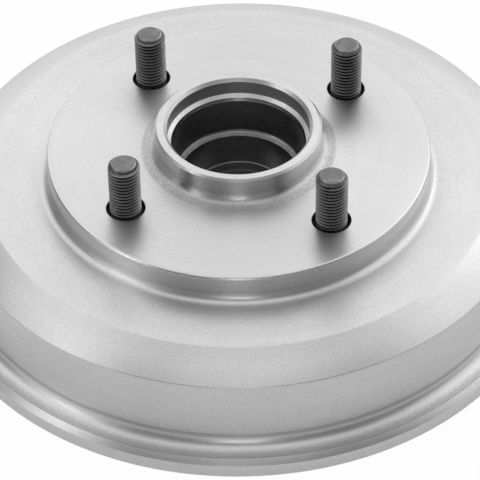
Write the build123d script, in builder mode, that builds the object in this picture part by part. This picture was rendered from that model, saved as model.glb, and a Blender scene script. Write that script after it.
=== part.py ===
"""Rear brake drum with an integral hub, and its four pressed wheel studs.

The drum, its web and its hub are one iron casting, turned to size. The axis is Z
and the wheel bears on the plane z = 0. +Z points out of the car, and the drum
opens towards -Z. All sizes are in millimetres.
"""

import os
from math import cos, radians, sin

from build123d import *

# Drum bell
friction_dia = 203.0  # braking surface
wall_thickness = 9.65
drum_depth = 53.4  # wheel face to open rim
web_thickness = 7.0  # web between the hub disc and the wall
shoulder_run = 13.65  # width of the cone from the flat web to the wall
shoulder_drop = 6.6  # height lost along that cone
corner_chamfer = 3.5  # inside, where the web meets the wall
lead_in = 2.0  # chamfer at the mouth of the braking surface

# Flange round the open rim, stepped inside where the backing plate's edge runs
flange_width = 9.35  # beyond the wall
flange_thickness = 8.1
flange_lip_width = 3.0  # where the flange top steps down to its chamfer
flange_lip_step = 0.5
flange_chamfer_height = 1.8
flange_foot_radius = 5.0
foot_undercut = 0.35  # the foot radius is cut this much deeper than the wall
rim_wall = 6.0  # outside the step in the open rim
rim_step_depth = 3.0
rim_edge_chamfer = 0.5

# Raised disc that the wheel bears on
face_margin = 19.0  # beyond the stud circle
face_height = 10.3  # above the flat web
face_edge_chamfer = 0.9
face_foot_radius = 3.0
face_web = 9.5  # thickness at the studs
web_slope = 6.0  # run of the sloped step on the inboard side
web_step_inset = 7.0  # from the disc's edge in to the flat ground for the stud heads

# Hub: the spigot outboard and the bearing boss inboard
spigot_dia = 63.4
spigot_height = 10.7
spigot_chamfer = 0.8
spigot_foot_radius = 4.0
boss_wall = 6.5  # round the seal bore
boss_depth = 46.0  # wheel face to the inboard end of the boss
boss_chamfer = 1.0
boss_foot_chamfer = 3.5

# Stepped bore through the hub, from the outboard end
cap_recess_wall = 4.6  # of the spigot round the cap recess
cap_recess_depth = 6.7
cap_recess_chamfer = 1.15
cap_ledge = 2.05  # width of the cone that leads into the cap bore
cap_bore_depth = 17.0
cap_bore_entry = 2.2  # height of that cone
outer_seat_dia = 45.2
outer_seat_depth = 10.3
outer_seat_entry = 0.8  # height of the cone that leads into the outer seat
lip_dia = 36.2
lip_length = 4.9
lip_chamfer = 0.6
inner_seat_dia = 50.3
inner_seat_depth = 12.0
seal_bore_dia = 54.0

# Wheel studs
stud_circle_dia = 108.0
stud_count = 4
first_stud_angle = 45.0
thread_dia = 12.0
thread_end = 22.0  # stud end above the wheel face
thread_end_chamfer = 1.3
neck_step = 0.5  # the neck that is pressed into the web stands this far out of the thread
stud_head_step = 3.0  # the head beyond the neck
stud_head_thickness = 3.2
stud_hole_step = 0.75  # the hole is opened out this far beyond the neck, round the thread
stud_hole_depth = 4.0

# Diameters that follow from the sizes above
wall_dia = friction_dia + 2 * wall_thickness
annulus_dia = wall_dia - 2 * shoulder_run
flange_dia = wall_dia + 2 * flange_width
flange_lip_dia = flange_dia - 2 * flange_lip_width
undercut_dia = wall_dia - 2 * foot_undercut
rim_step_dia = flange_dia - 2 * rim_wall
face_dia = stud_circle_dia + 2 * face_margin
web_step_dia = face_dia - 2 * web_step_inset
step_foot_dia = web_step_dia + 2 * web_slope
boss_dia = seal_bore_dia + 2 * boss_wall
cap_recess_dia = spigot_dia - 2 * cap_recess_wall
cap_bore_dia = cap_recess_dia - 2 * cap_ledge
neck_dia = thread_dia + 2 * neck_step
stud_head_dia = neck_dia + 2 * stud_head_step
stud_hole_dia = neck_dia + 2 * stud_hole_step

# Heights that follow
rim_z = -drum_depth
mouth_z = rim_z + rim_step_depth
web_z = -face_height
wall_top_z = web_z - shoulder_drop
web_inside_z = web_z - web_thickness
flange_top_z = rim_z + flange_thickness
undercut_z = flange_top_z + flange_foot_radius + foot_undercut
lip_z = flange_top_z - flange_lip_step
cap_recess_z = spigot_height - cap_recess_depth
cap_bore_z = cap_recess_z - cap_bore_depth
outer_seat_z = cap_bore_z - outer_seat_depth
inner_lip_z = outer_seat_z - lip_length
seal_bore_z = inner_lip_z - inner_seat_depth
stud_head_z = -face_web - stud_head_thickness

same_place = 0.01  # edges nearer than this to a size are taken to have it


def turn(outline, mode=Mode.ADD):
    """Revolve a closed outline of (diameter, height) points about the axle."""
    with BuildSketch(Plane.XZ) as section:
        with BuildLine():
            Polyline(*[(diameter / 2, height) for diameter, height in outline], close=True)
        make_face()
    revolve(section.sketch, axis=Axis.Z, mode=mode)


def ring(piece, diameter, height):
    """The turned edge of a piece that has this diameter and height."""

    def is_ring(edge):
        same_size = abs(2 * edge.radius - diameter) < same_place
        return same_size and abs(edge.arc_center.Z - height) < same_place

    return piece.edges().filter_by(GeomType.CIRCLE).filter_by(is_ring)


with BuildPart() as brake_drum:
    # The bell: wheel disc, web, shoulder cone, wall and flange
    turn(
        [
            (0, 0),
            (face_dia, 0),
            (face_dia, web_z),
            (annulus_dia, web_z),
            (wall_dia, wall_top_z),
            (wall_dia, undercut_z),
            (undercut_dia, undercut_z),
            (undercut_dia, flange_top_z),
            (flange_lip_dia, flange_top_z),
            (flange_lip_dia, lip_z),
            (flange_dia, lip_z - flange_chamfer_height),
            (flange_dia, rim_z),
            (rim_step_dia, rim_z),
            (rim_step_dia, mouth_z),
            (friction_dia, mouth_z),
            (friction_dia, web_inside_z),
            (step_foot_dia, web_inside_z),
            (web_step_dia, -face_web),
            (0, -face_web),
        ]
    )
    chamfer(ring(brake_drum, face_dia, 0), face_edge_chamfer)
    fillet(ring(brake_drum, face_dia, web_z), face_foot_radius)
    fillet(ring(brake_drum, undercut_dia, flange_top_z), flange_foot_radius)
    chamfer(ring(brake_drum, friction_dia, web_inside_z), corner_chamfer)
    chamfer(ring(brake_drum, flange_dia, rim_z), rim_edge_chamfer)
    chamfer(ring(brake_drum, friction_dia, mouth_z), lead_in)

    # The hub, solid at first
    turn([(0, 0), (spigot_dia, 0), (spigot_dia, spigot_height), (0, spigot_height)])
    turn([(0, -face_web), (boss_dia, -face_web), (boss_dia, -boss_depth), (0, -boss_depth)])
    fillet(ring(brake_drum, spigot_dia, 0), spigot_foot_radius)
    chamfer(ring(brake_drum, boss_dia, -face_web), boss_foot_chamfer)
    chamfer(ring(brake_drum, spigot_dia, spigot_height), spigot_chamfer)
    chamfer(ring(brake_drum, boss_dia, -boss_depth), boss_chamfer)

    # Stepped bore: cap recess, cap bore, outer seat, lip, inner seat and seal bore
    turn(
        [
            (0, spigot_height),
            (cap_recess_dia, spigot_height),
            (cap_recess_dia, cap_recess_z),
            (cap_bore_dia, cap_recess_z - cap_bore_entry),
            (cap_bore_dia, cap_bore_z),
            (outer_seat_dia, cap_bore_z - outer_seat_entry),
            (outer_seat_dia, outer_seat_z),
            (lip_dia, outer_seat_z),
            (lip_dia, inner_lip_z),
            (inner_seat_dia, inner_lip_z),
            (inner_seat_dia, seal_bore_z),
            (seal_bore_dia, seal_bore_z),
            (seal_bore_dia, -boss_depth),
            (0, -boss_depth),
        ],
        mode=Mode.SUBTRACT,
    )
    chamfer(ring(brake_drum, cap_recess_dia, spigot_height), cap_recess_chamfer)
    chamfer(ring(brake_drum, lip_dia, outer_seat_z), lip_chamfer)

    # Stud holes: a press bore through the web, opened out round the thread
    with PolarLocations(stud_circle_dia / 2, stud_count, start_angle=first_stud_angle):
        CounterBoreHole(neck_dia / 2, stud_hole_dia / 2, stud_hole_depth, face_web)

brake_drum.part.label = "brake_drum"


def build_stud(angle):
    """One wheel stud at this angle round the stud circle, head inboard."""
    outward = (cos(radians(angle)), sin(radians(angle)), 0)
    centre = [stud_circle_dia / 2 * part for part in outward]
    upright = Plane(centre, x_dir=outward, z_dir=(outward[1], -outward[0], 0))
    with BuildPart() as stud:
        with BuildSketch(upright):
            with BuildLine():
                Polyline(
                    (0, stud_head_z),
                    (stud_head_dia / 2, stud_head_z),
                    (stud_head_dia / 2, -face_web),
                    (neck_dia / 2, -face_web),
                    (neck_dia / 2, -stud_hole_depth),
                    (thread_dia / 2, -stud_hole_depth),
                    (thread_dia / 2, thread_end),
                    (0, thread_end),
                    close=True,
                )
            make_face()
        revolve(axis=Axis(centre, (0, 0, 1)))
        chamfer(stud.edges().group_by(Axis.Z)[-1], thread_end_chamfer)
    return stud


studs = []
for number in range(stud_count):
    wheel_stud = build_stud(first_stud_angle + number * 360 / stud_count)
    wheel_stud.part.label = f"wheel_stud_{number + 1}"
    studs.append(wheel_stud)

os.makedirs("parts", exist_ok=True)
export_step(brake_drum.part, "parts/brake_drum.step")
for wheel_stud in studs:
    export_step(wheel_stud.part, f"parts/{wheel_stud.part.label}.step")
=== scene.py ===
"""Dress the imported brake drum: a turned casting, its four wheel studs and a plain studio."""

import math

import bmesh
import bpy
from mathutils import Matrix, Vector


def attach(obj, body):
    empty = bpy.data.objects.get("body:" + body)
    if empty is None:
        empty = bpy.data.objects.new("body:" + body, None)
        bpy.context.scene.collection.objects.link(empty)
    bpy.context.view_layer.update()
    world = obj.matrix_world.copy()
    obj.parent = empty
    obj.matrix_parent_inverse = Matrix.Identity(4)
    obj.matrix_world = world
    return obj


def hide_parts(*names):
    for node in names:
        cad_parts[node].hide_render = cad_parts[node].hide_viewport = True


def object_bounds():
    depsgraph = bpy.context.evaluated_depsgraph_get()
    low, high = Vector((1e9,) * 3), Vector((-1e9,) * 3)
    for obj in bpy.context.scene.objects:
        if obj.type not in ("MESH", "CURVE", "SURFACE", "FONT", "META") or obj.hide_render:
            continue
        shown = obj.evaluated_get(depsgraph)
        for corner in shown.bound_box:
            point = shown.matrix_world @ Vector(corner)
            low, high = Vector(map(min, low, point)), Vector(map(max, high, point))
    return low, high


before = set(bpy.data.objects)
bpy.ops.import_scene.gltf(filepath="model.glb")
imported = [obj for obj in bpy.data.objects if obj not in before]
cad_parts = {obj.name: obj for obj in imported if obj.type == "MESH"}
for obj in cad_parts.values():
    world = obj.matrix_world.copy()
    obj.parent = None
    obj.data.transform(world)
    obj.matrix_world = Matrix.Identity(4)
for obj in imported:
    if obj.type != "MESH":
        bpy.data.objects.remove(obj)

cad_low, cad_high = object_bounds()

bl_info = {
    "name": "Brake Drum",
    "version": (1, 0, 0),
    "blender": (4, 5, 0),
    "location": "View3D > Sidebar > Brake Drum",
    "description": "Turns a brake drum with its wheel studs and sets it in a plain studio",
    "category": "Object",
}

MM = 0.001
TINY = 1e-6
SHARP_TURN = math.radians(22)  # a fold steeper than this keeps its crisp edge
SECTOR_DOUBLINGS = 4  # the bell is spun as a sixteenth of a turn and doubled up

# The casting's material slots
TURNED, BORED, ROUGH = range(3)

# Facets of a rounded corner. One facet makes a chamfer of the width that is given
CHAMFER = 1
BREAK = 2
SOFT_BREAK = 3
SHORT_ARC = 6
ARC = 8
LONG_ARC = 12
GROOVE_ARC = 16

TOOTH_HEIGHT = "tooth_height"  # 0 at the root of the thread, 1 at its crest
STUD_TWIST = 1.9  # how far each stud is turned on from the one before, in radians
THREAD_LEAD = 1.5  # turns of thread that start below the neck's top and are trimmed off
SKIRT = 1.2  # flat ground that is spun with a foot, as a share of the foot's width
FLAT_STEP = 0.93  # a face that looks up more than this is a flat step
LIP_SLOPE = 0.6  # and more than this, it may be the lip's top or its chamfer
FOOT_ROUND = 1.5 * MM  # the coarse ring starts this far out from the spigot
FOOT_TOP = 2 * MM

# Noises, as features in a metre, detail and, for some, roughness
FINE_RINGS = (2600.0, 1.0)
BROAD_RINGS = (420.0, 2.0)
CLOUDS = (38.0, 3.0)
GRAIN = (1500.0, 3.0, 0.7)
PITS = (2100.0, 2.0, 0.6)
PATCHES = (120.0, 3.0)
BORE_RINGS = (3200.0, 2.0)
BORE_SMEARS = (110.0, 3.0)
STEEL_GRAIN = (2400.0, 3.0, 0.6)
STEEL_CLOUDS = (260.0, 2.0)
ROUND_THE_BORE = (0.1, 0.1, 1.0)  # draws a noise out sideways, so that it makes rings

# Bands of a finish in metres: where it starts, is full, begins to fade and has ended.
# These are radii
FOOT_RING = (0.0325, 0.0340, 0.0364, 0.0376)
DISC_EDGE = (0.0716, 0.0720, 0.07290, 0.07299)
UNDERCUT_LINE = (0.1105, 0.1107, 0.11100, 0.11112)
GROOVE_OUTSIDE = (0.1130, 0.1148, 0.1180, 0.1184)
LIP_LINE = (0.1178, 0.1181, 0.1182, 0.1184)

# and these are heights on the studs
STUD_CHAMFER = (0.0203, 0.0206, 0.02196, 0.02199)
STUD_END_EDGE = (0.0215, 0.0218, 0.02196, 0.02199)

# Radii or heights in metres, where a finish has no effect yet and where it has its full effect
NEAR_SPIGOT = (0.048, 0.036)
IN_HUB = (0.042, 0.040)
IN_BORE = (0.030, 0.026)
DOWN_BORE = (0.0, -0.008)
ON_FACE = (-0.002, 0.0)
BELOW_WALL = (-0.0345, -0.0360)
ABOVE_LIP = (-0.0480, -0.0470)
LIT_TOWARDS_MOUTH = (-0.016, 0.001)
BELOW_LEDGE = (0.0024, 0.0016)
BELOW_STUD_CHAMFER = (0.0202, 0.0198)
IN_STUD_HOLE = (0.0004, -0.0004)
PATCHY_SIDE = (0.03, -0.04)


def length(name, millimetres, description):
    """A size in the panel, written here in millimetres."""
    return bpy.props.FloatProperty(
        name=name, description=description, default=millimetres * MM, unit="LENGTH", precision=5
    )


def angle(name, degrees, description):
    """An angle in the panel, written here in degrees."""
    return bpy.props.FloatProperty(
        name=name, description=description, default=math.radians(degrees), subtype="ANGLE"
    )


def tone(name, grey, description):
    """A neutral colour in the panel."""
    return bpy.props.FloatVectorProperty(
        name=name, description=description, default=(grey, grey, grey), subtype="COLOR", min=0, max=1
    )


class DrumSizes(bpy.types.PropertyGroup):
    """Sizes of the turned casting. Diameters are across the drum, heights from the wheel face."""

    steps: bpy.props.IntProperty(name="Steps", description="Facets round the drum", default=384)
    friction: length("Braking diameter", 203.0, "Bore that the shoes press on")
    wall: length("Wall thickness", 9.65, "Thickness of the drum's wall")
    depth: length("Depth", 53.4, "Wheel face to open rim")
    web: length("Web thickness", 7.0, "Thickness of the web between disc and wall")
    shoulder_run: length("Shoulder run", 13.65, "Width of the cone from the web to the wall")
    shoulder_drop: length("Shoulder drop", 6.6, "Height lost along that cone")
    corner: length("Inner corner", 4.0, "Radius where the web meets the wall inside")
    lead_in: length("Lead-in", 2.0, "Chamfer at the mouth of the braking surface")
    flange_width: length("Flange width", 9.35, "How far the flange stands out of the wall")
    flange_height: length("Flange height", 8.1, "Thickness of the flange")
    lip_width: length("Flange lip width", 2.3, "Width of the chamfered lip")
    lip_step: length("Flange lip step", 0.5, "How far the lip stays below the flange's height")
    lip_drop: length("Flange chamfer", 1.8, "Height of the chamfer")
    flange_foot: length("Flange foot", 4.95, "Radius of the groove between wall and lip")
    undercut: length("Undercut", 0.35, "How much deeper the foot is cut than the wall")
    groove_rise: angle("Groove rise", 12, "Slope of the groove where it climbs to the lip")
    rim_wall: length("Rim wall", 6.0, "Wall outside the step in the open rim")
    rim_step: length("Rim step", 3.0, "Depth of that step")
    rim_edge: length("Rim edge", 0.5, "Chamfer at the outer edge of the rim")
    disc: length("Wheel disc", 146.0, "Diameter that the wheel bears on")
    disc_height: length("Disc height", 10.3, "Height of the disc above the web")
    disc_edge: length("Disc edge", 1.0, "Radius at the edge of the disc")
    disc_foot: length("Disc foot", 3.5, "Radius between the disc's side and the web")
    foot_run: length("Foot run", 6.5, "Width of the shallow dip at its foot")
    foot_dip: length("Foot dip", 0.9, "How far that dip aims below the web")
    disc_web: length("Disc web", 9.5, "Thickness at the studs")
    pocket: length("Pocket", 132.0, "Flat ground for the stud heads")
    pocket_slope: length("Pocket slope", 6.0, "Run of the slope beside it")
    shoulder_edge: length("Shoulder edge", 0.4, "Radius where the cone meets the wall")
    edge_break: length("Edge break", 0.25, "Small radius left on a turned corner")


class HubSizes(bpy.types.PropertyGroup):
    """Sizes of the hub in the middle of the drum."""

    spigot: length("Spigot", 63.4, "Diameter that centres the wheel")
    spigot_height: length("Spigot height", 10.7, "Height above the wheel face")
    spigot_edge: length("Spigot edge", 0.8, "Outer chamfer")
    spigot_foot: length("Spigot foot", 3.6, "Radius between its side and the slope at its foot")
    foot_run: length("Foot run", 5.0, "Width of that slope")
    foot_rise: length("Foot rise", 0.9, "Height of that slope")
    recess: length("Cap recess", 54.2, "Wide mouth of the bore")
    recess_depth: length("Cap recess depth", 6.7, "Depth of that mouth")
    recess_edge: length("Cap recess edge", 1.15, "Inner chamfer of the spigot")
    cap_bore: length("Cap bore", 50.1, "Bore for the cap")
    ledge_width: length("Ledge width", 1.45, "Width of the shallow cone below the mouth")
    ledge_drop: length("Ledge drop", 1.0, "Height of that cone")
    entry_drop: length("Entry drop", 1.25, "Height of the steep cone into the cap bore")
    cap_bore_depth: length("Cap bore depth", 17.0, "From the mouth's floor")
    cap_foot: length("Cap bore foot", 1.4, "Radius at the bottom of the cap bore")
    outer_seat: length("Outer seat", 45.2, "Bore for the outer bearing")
    outer_seat_depth: length("Outer seat depth", 10.3, "Depth of that bore")
    outer_seat_entry: length("Outer seat entry", 0.8, "Height of the cone into it")
    lip: length("Lip", 36.2, "Bore between the two seats")
    lip_length: length("Lip length", 4.9, "Length of that bore")
    lip_edge: length("Lip edge", 0.35, "Chamfer on the lip")
    lip_foot: length("Lip foot", 1.2, "Small ledge at the bottom of that bore")
    inner_seat: length("Inner seat", 50.3, "Bore for the inner bearing")
    inner_seat_depth: length("Inner seat depth", 12.0, "Depth of that bore")
    seal: length("Seal bore", 54.0, "Bore for the seal")
    boss: length("Boss", 67.0, "Outside of the inboard boss")
    boss_depth: length("Boss depth", 46.0, "Wheel face to the end of the boss")
    boss_edge: length("Boss edge", 1.0, "Chamfer on the boss")
    boss_foot: length("Boss foot", 5.0, "Radius at its foot")


class StudSizes(bpy.types.PropertyGroup):
    """Sizes of the wheel studs and of their holes."""

    count: bpy.props.IntProperty(name="Studs", description="How many", default=4)
    first: angle("First stud", 45, "Its angle round the axle")
    circle: length("Stud circle", 108.0, "Diameter that the studs stand on")
    thread: length("Thread", 11.85, "Outer diameter of the thread")
    pitch: length("Pitch", 1.5, "Rise of the thread in one turn")
    thread_depth: length("Thread depth", 0.92, "Crest to root")
    end_height: length("End", 22.0, "Stud end above the wheel face")
    end_edge: length("End chamfer", 1.75, "Width of the chamfer on the stud end")
    end_drop: length("End chamfer height", 1.5, "Height of that chamfer")
    neck: length("Neck", 13.0, "Diameter that is pressed into the web")
    head: length("Head", 19.0, "Diameter of the head")
    head_height: length("Head height", 3.2, "Thickness of the head")
    head_edge: length("Head chamfer", 0.8, "Chamfer under the head")
    hole: length("Hole", 14.5, "Clearance round the thread")
    hole_depth: length("Hole depth", 4.0, "Depth of that clearance")
    hole_edge: length("Hole edge", 0.2, "Chamfer at the mouth of the hole")
    steps: bpy.props.IntProperty(name="Steps", description="Facets round a stud", default=60)


class StudioLook(bpy.types.PropertyGroup):
    """Tones of the finishes and of the floor, and the camera."""

    iron: tone("Iron", 0.68, "Fresh turned iron")
    bored: tone("Bored iron", 0.50, "Iron in the bores")
    rough: tone("Rough iron", 0.76, "Coarse iron of the rim, the spigot's foot and a step")
    steel: tone("Stud steel", 0.17, "Dark phosphate coat of the studs")
    floor: tone("Floor", 0.90, "Pale studio floor")
    azimuth: angle("Azimuth", 6.3, "Camera round the axle")
    elevation: angle("Elevation", 40.65, "Camera above the face")
    aim_drop: angle("Aim", 2.08, "How far below the hub it looks")
    roll: angle("Roll", -0.87, "Tilt of the camera")
    distance: length("Distance", 979.0, "Camera to the middle of the wheel face")
    lens: bpy.props.FloatProperty(name="Lens", description="Focal length", default=193.0, unit="CAMERA")


class Wire:
    """An output of a node tree that takes part in Python sums by adding Math nodes."""

    def __init__(self, tree, socket):
        self.tree = tree
        self.socket = socket

    def math(self, operation, *values, clamp=False):
        settings = {"operation": operation, "use_clamp": clamp}
        return self.tree.add("ShaderNodeMath", settings, dict(enumerate(values)))

    def __add__(self, other):
        return self.math("ADD", self, other)

    def __radd__(self, other):
        return self.math("ADD", other, self)

    def __sub__(self, other):
        return self.math("SUBTRACT", self, other)

    def __rsub__(self, other):
        return self.math("SUBTRACT", other, self)

    def __mul__(self, other):
        return self.math("MULTIPLY", self, other)

    def __rmul__(self, other):
        return self.math("MULTIPLY", other, self)

    def __pow__(self, other):
        return self.math("POWER", self, other)

    def clamped(self):
        return self.math("ADD", self, 0.0, clamp=True)

    def rises(self, low, high):
        """0 at low, 1 at high, and smooth between them."""
        settings = {"interpolation_type": "SMOOTHSTEP"}
        sockets = {"Value": self, "From Min": low, "From Max": high}
        return self.tree.add("ShaderNodeMapRange", settings, sockets)

    def spans(self, start, full, still_full, end):
        """1 from full to still_full, 0 before the start and after the end, and smooth between."""
        return self.rises(start, full) * self.rises(end, still_full)


class Nodes:
    """A material's or the world's node tree, emptied and ready to be filled."""

    def __init__(self, owner):
        owner.use_nodes = True
        self.tree = owner.node_tree
        self.tree.nodes.clear()

    def add(self, kind, settings=None, sockets=None, output=0):
        """Add a node, set its settings and then its sockets, and return one output."""
        node = self.tree.nodes.new(kind)
        for name, value in (settings or {}).items():
            setattr(node, name, value)
        for name, value in (sockets or {}).items():
            if isinstance(value, Wire):
                self.tree.links.new(value.socket, node.inputs[name])
            else:
                node.inputs[name].default_value = value
        return Wire(self, node.outputs[output]) if len(node.outputs) else None

    def mix_colour(self, factor, first, second):
        """Mix two colours. The node names its sockets alike for each type, so they go by number."""
        sockets = {0: factor, 6: first, 7: second}
        return self.add("ShaderNodeMix", {"data_type": "RGBA"}, sockets, output=2)

    def split(self, vector):
        """The three parts of a vector."""
        first = self.add("ShaderNodeSeparateXYZ", {}, {0: vector})
        return [Wire(self, part) for part in first.socket.node.outputs]

    def noise(self, vector, scale, detail=2.0, roughness=0.5):
        sockets = {"Vector": vector, "Scale": scale, "Detail": detail, "Roughness": roughness}
        return self.add("ShaderNodeTexNoise", {}, sockets, output="Fac")


WHITE = (1.0, 1.0, 1.0, 1.0)
CUT_SPREAD = 0.6  # how much the tool's rings draw a highlight out
CUT_DIRECTION = 0.25  # and which way, in turns


def shade(colour, factor):
    """The same colour, darker or lighter."""
    return (*[min(1.0, part * factor) for part in colour], 1.0)


def iron_finish(name, colour, roughness, groove_depth, speckle):
    """Turned iron: rings from the tool, a fine grain, dark pits and broad cloudy patches, with painted
    shade in the creases and down the bore.
    """
    material = bpy.data.materials.new(name)
    nodes = Nodes(material)
    place = nodes.add("ShaderNodeTexCoord", output="Object")
    x, y, z = nodes.split(place)
    radius = (x * x + y * y) ** 0.5
    track = nodes.add("ShaderNodeCombineXYZ", {}, {"X": radius, "Y": z, "Z": (x + y) * 0.01})
    fine = nodes.noise(track, *FINE_RINGS)
    bands = nodes.noise(track, *BROAD_RINGS)
    cloud = nodes.noise(place, *CLOUDS)
    grain = nodes.noise(place, *GRAIN)
    pit_field = nodes.noise(place, *PITS)

    # Round the foot of the spigot the skin is left coarser, and beyond it in ragged patches
    foot_ring = radius.spans(*FOOT_RING) * z.rises(*ON_FACE)
    ragged = nodes.noise(place, *PATCHES) + x.rises(*PATCHY_SIDE) * 0.12
    near_foot = radius.rises(*NEAR_SPIGOT) * ragged.rises(0.42, 0.62) * 0.6 + foot_ring * 1.1
    in_bore = radius.rises(*IN_BORE) * z.rises(*DOWN_BORE)
    pitting = near_foot + in_bore * 0.8 + speckle
    pits = (pit_field + pitting * 0.10).rises(0.66, 0.80)

    # The outer part of the flange's groove is coloured lighter, and is made a little rougher below
    lighter_groove = radius.spans(*GROOVE_OUTSIDE)

    # Painted shade darkens the undercut below the wall and the crease at the foot of the flange's lip
    undercut_shade = radius.spans(*UNDERCUT_LINE) * z.rises(*BELOW_WALL)
    lip_foot_shade = radius.spans(*LIP_LINE) * z.rises(*ABOVE_LIP)
    painted_crease_shade = (undercut_shade * 0.4 + lip_foot_shade * 0.5).clamped()

    light = nodes.mix_colour(cloud.rises(0.3, 0.7), shade(colour, 0.96), shade(colour, 1.03))
    ringed = nodes.mix_colour(bands.rises(0.3, 0.7) * 0.4, light, shade(colour, 0.93))
    coarse = nodes.mix_colour(foot_ring * 0.85, ringed, shade(colour, 0.66))
    groove_lightened = nodes.mix_colour(lighter_groove * 0.8, coarse, shade(colour, 1.35))
    # the painted shade of the undercut and of the lip's foot goes into the colour here
    crease_shaded = nodes.mix_colour(painted_crease_shade, groove_lightened, shade(colour, 0.25))
    graininess = grain.rises(0.35, 0.65) * (pitting * 0.3 + 0.42)
    grained = nodes.mix_colour(graininess, crease_shaded, shade(colour, 0.72))
    # Pits darken the colour at random, and down the hub's bore it is darkened as painted shade
    pitted_and_bore_shaded = nodes.mix_colour(pits * 0.45 + in_bore * 0.85, grained, shade(colour, 0.3))

    # The edge of the wheel disc is burnished
    burnished = radius.spans(*DISC_EDGE)
    unevenness = (cloud - 0.5) * 0.08 + (bands - 0.5) * 0.08 + (grain - 0.5) * 0.12 + pits * 0.15
    gloss = unevenness + roughness - burnished * 0.10 + lighter_groove * 0.08
    height = fine * groove_depth + bands * groove_depth + grain * (pitting * 0.02 + 0.012)
    normal = nodes.add("ShaderNodeBump", {}, {"Strength": 1.0, "Distance": MM, "Height": height})
    shader = nodes.add(
        "ShaderNodeBsdfPrincipled",
        {},
        {
            "Base Color": pitted_and_bore_shaded,
            "Metallic": 1.0,
            "Roughness": gloss.clamped(),
            "Anisotropic": CUT_SPREAD,
            "Anisotropic Rotation": CUT_DIRECTION,
            "Normal": normal,
        },
    )
    nodes.add("ShaderNodeOutputMaterial", {}, {"Surface": shader})
    return material


def turned_iron(look):
    return iron_finish("turned_iron", look.iron, 0.36, 0.010, 0.0)


def rough_iron(look):
    return iron_finish("rough_iron", look.rough, 0.42, 0.014, 0.35)


def bored_iron(look):
    """Smooth bores with painted shade: darker towards their depth and near the ledge, and darkest in the
    stud holes.
    """
    material = bpy.data.materials.new("bored_iron")
    nodes = Nodes(material)
    place = nodes.add("ShaderNodeTexCoord", output="Object")
    x, y, height = nodes.split(place)
    radius = (x * x + y * y) ** 0.5
    sockets = {0: place, 1: ROUND_THE_BORE}
    drawn_out = nodes.add("ShaderNodeVectorMath", {"operation": "MULTIPLY"}, sockets)
    rings = nodes.noise(drawn_out, *BORE_RINGS)
    smear = nodes.noise(place, *BORE_SMEARS)
    # Painted shade: the hub's bores darken deeper down and near the ledge, and random smears vary the
    # tone
    in_hub = radius.rises(*IN_HUB)
    bore_light = height.rises(*LIT_TOWARDS_MOUTH) * height.rises(*BELOW_LEDGE)
    lit_and_smeared = (bore_light * 0.8 + smear * 0.2) * in_hub
    colour = nodes.mix_colour(lit_and_smeared.clamped(), shade(look.bored, 0.4), shade(look.bored, 1.0))
    ringed = nodes.mix_colour(rings.rises(0.45, 0.65) * 0.35, colour, shade(look.bored, 0.3))
    # The stud holes, outside the hub, get the darkest painted shade
    shaded = nodes.mix_colour(in_hub, shade(look.bored, 0.12), ringed)
    gloss = (rings - 0.5) * 0.15 + (smear - 0.5) * 0.12 + 0.30
    normal = nodes.add("ShaderNodeBump", {}, {"Strength": 1.0, "Distance": MM, "Height": rings * 0.008})
    shader = nodes.add(
        "ShaderNodeBsdfPrincipled",
        {},
        {"Base Color": shaded, "Metallic": 1.0, "Roughness": gloss.clamped(), "Normal": normal},
    )
    nodes.add("ShaderNodeOutputMaterial", {}, {"Surface": shader})
    return material


def stud_steel(look):
    """Dark phosphated steel with worn bright flecks, painted shade in the thread and a painted highlight
    on the edge of its end.
    """
    material = bpy.data.materials.new("stud_steel")
    nodes = Nodes(material)
    place = nodes.add("ShaderNodeTexCoord", output="Object")
    height = nodes.split(place)[2]
    grain = nodes.noise(place, *STEEL_GRAIN)
    cloud = nodes.noise(place, *STEEL_CLOUDS)
    tooth = nodes.add("ShaderNodeAttribute", {"attribute_name": TOOTH_HEIGHT}, output="Fac")
    coat = nodes.mix_colour(cloud.rises(0.3, 0.7), shade(look.steel, 0.95), shade(look.steel, 1.3))

    # Painted shade darkens the root of the thread, the end chamfer and, darkest, the thread down in the
    # stud's hole
    root = tooth.rises(0.8, 0.2) * height.rises(*BELOW_STUD_CHAMFER)
    # painted shade in the thread's roots
    root_shaded = nodes.mix_colour(root * 0.9, coat, shade(look.steel, 0.1))
    chamfer = height.spans(*STUD_CHAMFER)
    # painted shade on the stud's end chamfer
    end_shaded = nodes.mix_colour(chamfer * 0.8, root_shaded, shade(look.steel, 0.6))
    hole_shade = height.rises(*IN_STUD_HOLE)
    # the thread below the face, down in the stud's hole, gets a near-black painted shade
    shaded_steel = nodes.mix_colour(hole_shade * 0.9, end_shaded, shade(look.steel, 0.05))

    # Random flecks are worn bright, and the edge of the stud's end gets a painted highlight
    end_edge = height.spans(*STUD_END_EDGE)
    wear_and_glint = grain.rises(0.55, 0.7) * 0.4 + end_edge * grain.rises(0.3, 0.55) * 0.9
    flecked_and_glinting = nodes.mix_colour(wear_and_glint.clamped(), shaded_steel, shade(look.steel, 2.8))
    gloss = (grain - 0.5) * 0.2 + 0.42
    normal = nodes.add("ShaderNodeBump", {}, {"Strength": 1.0, "Distance": MM, "Height": grain * 0.008})
    shader = nodes.add(
        "ShaderNodeBsdfPrincipled",
        {},
        {"Base Color": flecked_and_glinting, "Metallic": 1.0, "Roughness": gloss.clamped(), "Normal": normal},
    )
    nodes.add("ShaderNodeOutputMaterial", {}, {"Surface": shader})
    return material


def tangent_length(before, corner, after, radius):
    """How far from a corner an arc of this radius starts."""
    turn = (corner - before).angle(after - corner)
    return radius * math.tan(turn / 2)


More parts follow.
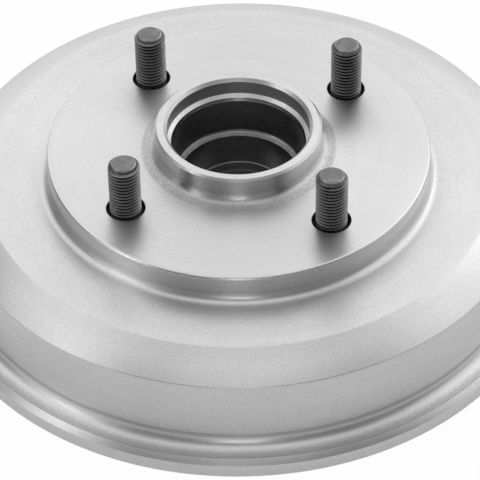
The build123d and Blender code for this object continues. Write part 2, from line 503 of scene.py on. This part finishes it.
def turn_outline(corners, steps, centre=(0, 0), sweep=math.tau):
    """Spin a profile of (radius, height, rounding, segments) corners about an upright axis."""
    shape = bmesh.new()
    points = [Vector((centre[0] + corner[0], centre[1], corner[1])) for corner in corners]
    verts = [shape.verts.new(point) for point in points]
    for pair in zip(verts, verts[1:]):
        shape.edges.new(pair)
    for index, (_, _, rounding, segments) in enumerate(corners):
        if not rounding:
            continue
        before, corner, after = points[index - 1 : index + 2]
        reach = rounding if segments == CHAMFER else tangent_length(before, corner, after, rounding)
        bmesh.ops.bevel(
            shape,
            geom=[verts[index]],
            offset=reach,
            offset_type="OFFSET",
            affect="VERTICES",
            segments=segments,
            profile=0.5,
            material=-1,
        )
    bmesh.ops.spin(
        shape,
        geom=shape.verts[:] + shape.edges[:],
        cent=(*centre, 0),
        axis=(0, 0, 1),
        angle=sweep,
        steps=steps,
        use_merge=sweep == math.tau,
    )
    return shape


def turn_in_sectors(corners, steps):
    """Spin one sector and copy it round: a quick way to a full turn with many steps."""
    sectors = 2**SECTOR_DOUBLINGS
    shape = turn_outline(corners, steps // sectors, sweep=math.tau / sectors)
    for doubling in range(SECTOR_DOUBLINGS):
        turned = Matrix.Rotation(math.pi / 2**doubling, 4, "Z")
        copy_moved(shape, turned)
    return shape


def copy_moved(shape, matrix):
    """Add a copy of all that the shape holds, moved by this matrix."""
    copied = bmesh.ops.duplicate(shape, geom=shape.verts[:] + shape.edges[:] + shape.faces[:])
    moved = [part for part in copied["geom"] if isinstance(part, bmesh.types.BMVert)]
    bmesh.ops.transform(shape, matrix=matrix, verts=moved)


def join_shapes(shapes):
    """Put several shapes into the first one and merge what meets."""
    whole = shapes[0]
    for shape in shapes[1:]:
        mesh = bpy.data.meshes.new("joined")
        shape.to_mesh(mesh)
        shape.free()
        whole.from_mesh(mesh)
        bpy.data.meshes.remove(mesh)
    bmesh.ops.remove_doubles(whole, verts=whole.verts, dist=TINY)
    return whole


def open_edges_at(shape, height):
    """The free edges that lie at this height."""
    found = []
    for edge in shape.edges:
        level = all(abs(vert.co.z - height) < TINY for vert in edge.verts)
        if level and len(edge.link_faces) < 2:
            found.append(edge)
    return found


def fill_flat(shape, height):
    """Close the flat ground between all the free edges at this height."""
    bmesh.ops.triangle_fill(
        shape, edges=open_edges_at(shape, height), use_beauty=True, use_dissolve=False
    )


def finish_mesh(name, shape, materials):
    """Merge, turn the faces outwards, keep steep folds crisp, and make the object."""
    bmesh.ops.remove_doubles(shape, verts=shape.verts, dist=TINY)
    bmesh.ops.recalc_face_normals(shape, faces=shape.faces)
    if not all(edge.is_manifold for edge in shape.edges):
        raise RuntimeError(f"{name} isn't a closed shape")
    for face in shape.faces:
        face.smooth = True
    for edge in shape.edges:
        edge.smooth = edge.calc_face_angle() < SHARP_TURN
    mesh = bpy.data.meshes.new(name)
    shape.to_mesh(mesh)
    shape.free()
    for material in materials:
        mesh.materials.append(material)
    piece = bpy.data.objects.new(name, mesh)
    bpy.context.scene.collection.objects.link(piece)
    return piece


def stud_centres(studs):
    """Where the studs stand on the wheel face."""
    for number in range(studs.count):
        bearing = studs.first + number * math.tau / studs.count
        yield Vector((math.cos(bearing), math.sin(bearing))) * studs.circle / 2


class BRAKEDRUM_OT_casting(bpy.types.Operator):
    """Turn the drum and its hub from one outline, with the stud holes"""

    bl_idname = "brake_drum.casting"
    bl_label = "Turn the casting"

    def execute(self, context):
        scene = context.scene
        drum, hub, studs, look = scene.drum_sizes, scene.hub_sizes, scene.stud_sizes, scene.studio_look
        bell = turn_in_sectors(bell_outline(drum), drum.steps)
        hub_wall = turn_in_sectors(hub_outline(drum, hub), drum.steps)
        holes = [turn_outline(hole_outline(drum, studs), studs.steps, at) for at in stud_centres(studs)]
        shape = join_shapes([bell, hub_wall, *holes])
        fill_flat(shape, 0.0)
        fill_flat(shape, -drum.disc_web)
        finishes = {TURNED: turned_iron(look), BORED: bored_iron(look), ROUGH: rough_iron(look)}
        casting = finish_mesh("drum_casting", shape, finishes.values())
        paint_casting(casting, drum, hub, studs)
        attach(casting, "root")
        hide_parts("brake_drum")
        return {"FINISHED"}


def bell_outline(drum):
    """The bell from the wheel face outwards, round the rim and back to the stud heads."""
    soft = drum.edge_break
    wall = drum.friction / 2 + drum.wall
    flange = wall + drum.flange_width
    flange_top = drum.flange_height - drum.depth
    lip = flange - drum.lip_width
    foot = wall - drum.undercut
    lip_top = flange_top - drum.lip_step
    groove = lip_top - (lip - foot) * math.tan(drum.groove_rise)
    groove_turn = math.pi / 2 + drum.groove_rise
    foot_top = groove + drum.flange_foot * math.tan(groove_turn / 2) + drum.undercut
    mouth = drum.rim_step - drum.depth
    web_inside = -drum.disc_height - drum.web
    disc = drum.disc / 2
    pocket = drum.pocket / 2
    return [
        (disc - 2 * drum.disc_edge, 0.0, 0, 0),
        (disc, 0.0, drum.disc_edge, SHORT_ARC),
        (disc, -drum.disc_height - drum.foot_dip, drum.disc_foot, LONG_ARC),
        (disc + drum.foot_run, -drum.disc_height, 0, 0),
        (wall - drum.shoulder_run, -drum.disc_height, soft, BREAK),
        (wall, -drum.disc_height - drum.shoulder_drop, drum.shoulder_edge, SOFT_BREAK),
        (wall, foot_top, 0, 0),
        (foot, foot_top, 0, 0),
        (foot, groove, drum.flange_foot, GROOVE_ARC),
        (lip, lip_top, 0, 0),
        (flange, lip_top - drum.lip_drop, soft, BREAK),
        (flange, -drum.depth, drum.rim_edge, CHAMFER),
        (flange - drum.rim_wall, -drum.depth, soft, BREAK),
        (flange - drum.rim_wall, mouth, soft, BREAK),
        (drum.friction / 2, mouth, drum.lead_in, CHAMFER),
        (drum.friction / 2, web_inside, drum.corner, ARC),
        (pocket + drum.pocket_slope, web_inside, soft, BREAK),
        (pocket, -drum.disc_web, soft, BREAK),
        (pocket - 2 * soft, -drum.disc_web, 0, 0),
    ]


def hub_outline(drum, hub):
    """The hub from the wheel face up over the spigot, down the bores and round the boss."""
    spigot, boss = hub.spigot / 2, hub.boss / 2
    recess, cap_bore, seat = hub.recess / 2, hub.cap_bore / 2, hub.outer_seat / 2
    lip, inner_seat, seal = hub.lip / 2, hub.inner_seat / 2, hub.seal / 2
    recess_floor = hub.spigot_height - hub.recess_depth
    ledge = recess_floor - hub.ledge_drop
    cap_floor = recess_floor - hub.cap_bore_depth
    lip_top = cap_floor - hub.outer_seat_depth
    lip_bottom = lip_top - hub.lip_length
    seal_floor = lip_bottom - hub.inner_seat_depth
    return [
        (spigot + SKIRT * hub.foot_run, 0.0, 0, 0),
        (spigot + hub.foot_run, 0.0, 0, 0),
        (spigot, hub.foot_rise, hub.spigot_foot, LONG_ARC),
        (spigot, hub.spigot_height, hub.spigot_edge, CHAMFER),
        (recess, hub.spigot_height, hub.recess_edge, CHAMFER),
        (recess, recess_floor, 0, 0),
        (recess - hub.ledge_width, ledge, 0, 0),
        (cap_bore, ledge - hub.entry_drop, drum.edge_break, SOFT_BREAK),
        (cap_bore, cap_floor, hub.cap_foot, SHORT_ARC),
        (seat, cap_floor - hub.outer_seat_entry, 0, 0),
        (seat, lip_top, 0, 0),
        (lip, lip_top, hub.lip_edge, CHAMFER),
        (lip, lip_bottom + hub.lip_foot, 0, 0),
        (lip - hub.lip_foot, lip_bottom + hub.lip_foot, 0, 0),
        (lip - hub.lip_foot, lip_bottom, 0, 0),
        (inner_seat, lip_bottom, 0, 0),
        (inner_seat, seal_floor, 0, 0),
        (seal, seal_floor, 0, 0),
        (seal, -hub.boss_depth, 0, 0),
        (boss, -hub.boss_depth, hub.boss_edge, CHAMFER),
        (boss, -drum.disc_web, hub.boss_foot, ARC),
        (boss + SKIRT * hub.boss_foot, -drum.disc_web, 0, 0),
    ]


def hole_outline(drum, studs):
    """A stud hole from the wheel face down through the web."""
    hole, neck = studs.hole / 2, studs.neck / 2
    return [
        (hole + studs.hole_edge, 0.0, 0, 0),
        (hole, -studs.hole_edge, 0, 0),
        (hole, -studs.hole_depth, 0, 0),
        (neck, -studs.hole_depth, 0, 0),
        (neck, -drum.disc_web, 0, 0),
    ]


def paint_casting(casting, drum, hub, studs):
    """Give the bores, the stud holes, the rim and the coarse steps their own finish."""
    mouth = hub.spigot_height - hub.recess_depth - hub.ledge_drop
    seat_floor = hub.spigot_height - hub.recess_depth - hub.cap_bore_depth - hub.outer_seat_depth
    flange = drum.friction / 2 + drum.wall + drum.flange_width
    spigot, recess, hole = hub.spigot / 2, hub.recess / 2, studs.hole / 2
    centres = list(stud_centres(studs))
    for face in casting.data.polygons:
        centre, level = face.center.xy, face.center.z
        radius = centre.length
        upward = abs(face.normal.z)
        in_bore = radius < recess + TINY and level < mouth
        on_step = in_bore and upward > FLAT_STEP and level > seat_floor + MM
        on_lip = upward > LIP_SLOPE and radius < hub.lip / 2 + hub.lip_edge and level < seat_floor + TINY
        in_hole = level < -TINY and min((centre - at).length for at in centres) < hole + TINY
        on_rim = radius > flange - MM
        beside_spigot = spigot + FOOT_ROUND < radius < spigot + hub.foot_run
        on_foot = beside_spigot and TINY < level < FOOT_TOP
        if on_rim or on_foot or on_step:
            face.material_index = ROUGH
        elif in_bore and not on_lip or in_hole:
            face.material_index = BORED
        else:
            face.material_index = TURNED


class BRAKEDRUM_OT_studs(bpy.types.Operator):
    """Cut the threaded wheel studs and press them in"""

    bl_idname = "brake_drum.studs"
    bl_label = "Cut the wheel studs"

    def execute(self, context):
        drum, studs, look = context.scene.drum_sizes, context.scene.stud_sizes, context.scene.studio_look
        steel = stud_steel(look)
        model = join_shapes([cut_thread(studs), turn_outline(head_outline(drum, studs), studs.steps)])
        tooth_height = model.verts.layers.float.new(TOOTH_HEIGHT)
        for vert in model.verts:
            height = 1 - (studs.thread / 2 - vert.co.xy.length) / studs.thread_depth
            vert[tooth_height] = min(max(height, 0.0), 1.0)
        fill_flat(model, -studs.hole_depth)
        fill_flat(model, studs.end_height)
        for number, centre in enumerate(stud_centres(studs), start=1):
            shape = model.copy()
            placed = Matrix.Translation((*centre, 0)) @ Matrix.Rotation(number * STUD_TWIST, 4, "Z")
            bmesh.ops.transform(shape, matrix=placed, verts=shape.verts)
            stud = finish_mesh(f"threaded_stud_{number}", shape, [steel])
            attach(stud, "root")
            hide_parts(f"wheel_stud_{number}")
        model.free()
        return {"FINISHED"}


def cut_thread(studs):
    """A helical thread from the neck to the stud end, with the end chamfer turned on it."""
    shape = bmesh.new()
    crest = studs.thread / 2
    root = crest - studs.thread_depth
    tooth = [(0, root), (1 / 8, root), (7 / 16, crest), (9 / 16, crest), (7 / 8, root), (1, root)]
    start = -studs.hole_depth - THREAD_LEAD * studs.pitch
    verts = [shape.verts.new((radius, 0, start + rise * studs.pitch)) for rise, radius in tooth]
    wires = [shape.edges.new(pair) for pair in zip(verts, verts[1:])]
    bmesh.ops.spin(
        shape,
        geom=verts + wires,
        cent=(0, 0, 0),
        axis=(0, 0, 1),
        dvec=(0, 0, studs.pitch / studs.steps),
        angle=math.tau,
        steps=studs.steps,
    )
    turns = 1
    while start + turns * studs.pitch < studs.end_height:
        copy_moved(shape, Matrix.Translation((0, 0, turns * studs.pitch)))
        turns *= 2
    bmesh.ops.remove_doubles(shape, verts=shape.verts, dist=TINY)
    trim(shape, studs.end_height, 1)
    trim(shape, -studs.hole_depth, -1)
    for vert in shape.verts:
        limit = crest + studs.end_edge * ((studs.end_height - vert.co.z) / studs.end_drop - 1)
        if vert.co.xy.length > limit:
            vert.co.xy = vert.co.xy.normalized() * limit
    return shape


def trim(shape, height, side):
    """Cut the shape off flat above (side 1) or below (side -1) this height."""
    bmesh.ops.bisect_plane(
        shape,
        geom=shape.verts[:] + shape.edges[:] + shape.faces[:],
        dist=TINY / 10,
        plane_co=(0, 0, height),
        plane_no=(0, 0, side),
        clear_outer=True,
    )


def head_outline(drum, studs):
    """The pressed neck and the flat head below it."""
    neck, head = studs.neck / 2, studs.head / 2
    bottom = -drum.disc_web - studs.head_height
    return [
        (neck, -studs.hole_depth, 0, 0),
        (neck, -drum.disc_web, 0, 0),
        (head, -drum.disc_web, 0, 0),
        (head, bottom, studs.head_edge, CHAMFER),
        (0.0, bottom, 0, 0),
    ]


class BRAKEDRUM_OT_studio(bpy.types.Operator):
    """Set the floor, the soft lights and the camera"""

    bl_idname = "brake_drum.studio"
    bl_label = "Set up the studio"

    def execute(self, context):
        scene, look = context.scene, context.scene.studio_look
        add_floor(look)
        light_world(scene, look)
        add_camera(scene, look)
        scene.view_settings.view_transform = "Standard"
        return {"FINISHED"}


FLOOR_SIZE = 6.0
SENSOR_WIDTH = 36.0
UNDER_DRUM = 0.11  # the floor doesn't glow inside this radius
FLOOR_BLUR = 0.01
SEEN_GLOW = 0.96  # how much of the floor's white is its own glow, as the camera sees it
MIRRORED_GLOW = 0.25  # the same as metal mirrors it
THROUGH_GLOW = 0.3  # and as it shows through glass

# Soft lights round the drum, as angles in degrees: how far to the right of the camera it stands
# and how high, how far its full light reaches and its soft edge. Its brightness comes last
SOFT_LIGHTS = {
    "back_wall": (177, 22, 35, 57, 1.03),
    "right_box": (108, 37, 18, 41, 0.96),
    "left_high_box": (-102, 54, 7, 25, 1.10),
    "left_low_box": (-65, 15, 9, 25, 0.80),
    "left_strip_low": (-67, 31, 2, 10, 2.0),
    "left_strip_high": (-70, 46, 2, 10, 1.6),
    "front_strip": (-1, 18, 4, 10, 3.5),
    "top_box": (6, 79, 8, 30, 0.95),
}
DIM_ROOM = 0.18  # brightness between the lights


def add_floor(look):
    """A pale floor that shows nearly white behind the drum and keeps a soft shadow."""
    shape = bmesh.new()
    flat = Matrix.Translation((0, 0, cad_low.z))
    bmesh.ops.create_grid(shape, x_segments=1, y_segments=1, size=FLOOR_SIZE / 2, matrix=flat)
    mesh = bpy.data.meshes.new("studio_floor")
    shape.to_mesh(mesh)
    shape.free()
    floor = bpy.data.objects.new("studio_floor", mesh)
    bpy.context.scene.collection.objects.link(floor)
    material = bpy.data.materials.new("studio_floor")
    mesh.materials.append(material)
    nodes = Nodes(material)
    seen = nodes.add("ShaderNodeLightPath", output="Is Camera Ray")
    mirrored = nodes.add("ShaderNodeLightPath", output="Is Glossy Ray")
    through = nodes.add("ShaderNodeLightPath", output="Is Transmission Ray")
    matte = nodes.add("ShaderNodeBsdfDiffuse", {}, {"Color": shade(look.floor, 1.0)})
    glow = nodes.add("ShaderNodeEmission", {}, {"Color": WHITE, "Strength": 1.0})
    place = nodes.add("ShaderNodeTexCoord", output="Object")
    x, y = nodes.split(place)[:2]
    outside = ((x * x + y * y) ** 0.5).rises(UNDER_DRUM, UNDER_DRUM + FLOOR_BLUR)
    factor = (seen * SEEN_GLOW + mirrored * MIRRORED_GLOW + through * THROUGH_GLOW) * outside
    shader = nodes.add("ShaderNodeMixShader", {}, {0: factor, 1: matte, 2: glow})
    nodes.add("ShaderNodeOutputMaterial", {}, {"Surface": shader})


def light_world(scene, look):
    """A dim room with soft-edged lights round and above the drum."""
    world = bpy.data.worlds.new("soft_studio")
    scene.world = world
    nodes = Nodes(world)
    direction = nodes.add("ShaderNodeTexCoord", output="Generated")
    level = DIM_ROOM
    for bearing, height, full, edge, brightness in SOFT_LIGHTS.values():
        turned = Matrix.Rotation(look.azimuth + math.radians(bearing), 3, "Z")
        towards = turned @ Matrix.Rotation(-math.radians(height), 3, "X") @ Vector((0, -1, 0))
        sockets = {0: direction, 1: towards}
        facing = nodes.add("ShaderNodeVectorMath", {"operation": "DOT_PRODUCT"}, sockets, output="Value")
        reach = math.cos(math.radians(edge)), math.cos(math.radians(full))
        level = facing.rises(*reach) * brightness + level
    colour = nodes.add("ShaderNodeCombineColor", {}, {0: level, 1: level, 2: level})
    sky = nodes.add("ShaderNodeBackground", {}, {"Color": colour, "Strength": 1.0})
    nodes.add("ShaderNodeOutputWorld", {}, {"Surface": sky})


def add_camera(scene, look):
    """The camera looks down on the wheel face from its side of the drum."""
    camera = bpy.data.objects.new("studio_camera", bpy.data.cameras.new("studio_camera"))
    scene.collection.objects.link(camera)
    round_axle = Matrix.Rotation(look.azimuth, 4, "Z")
    raised = Matrix.Rotation(math.pi / 2 - look.elevation, 4, "X")
    tilt = Matrix.Rotation(-look.aim_drop, 4, "X") @ Matrix.Rotation(look.roll, 4, "Z")
    camera.matrix_world = round_axle @ raised @ Matrix.Translation((0, 0, look.distance)) @ tilt
    camera.data.lens = look.lens
    camera.data.sensor_width = SENSOR_WIDTH
    scene.camera = camera


class BRAKEDRUM_PT_panel(bpy.types.Panel):
    """The steps that build the dressed drum"""

    bl_idname = "BRAKEDRUM_PT_panel"
    bl_label = "Brake Drum"
    bl_space_type = "VIEW_3D"
    bl_region_type = "UI"
    bl_category = "Brake Drum"

    def draw(self, context):
        for operator in (BRAKEDRUM_OT_casting, BRAKEDRUM_OT_studs, BRAKEDRUM_OT_studio):
            self.layout.operator(operator.bl_idname)


GROUPS = {
    "drum_sizes": DrumSizes,
    "hub_sizes": HubSizes,
    "stud_sizes": StudSizes,
    "studio_look": StudioLook,
}
CLASSES = (BRAKEDRUM_OT_casting, BRAKEDRUM_OT_studs, BRAKEDRUM_OT_studio, BRAKEDRUM_PT_panel)


def register():
    for name, group in GROUPS.items():
        bpy.utils.register_class(group)
        setattr(bpy.types.Scene, name, bpy.props.PointerProperty(type=group))
    for kind in CLASSES:
        bpy.utils.register_class(kind)


def unregister():
    for kind in reversed(CLASSES):
        bpy.utils.unregister_class(kind)
    for name, group in reversed(GROUPS.items()):
        delattr(bpy.types.Scene, name)
        bpy.utils.unregister_class(group)


def main():
    register()
    bpy.ops.brake_drum.casting()
    bpy.ops.brake_drum.studs()
    bpy.ops.brake_drum.studio()


if __name__ == "__main__":
    main()
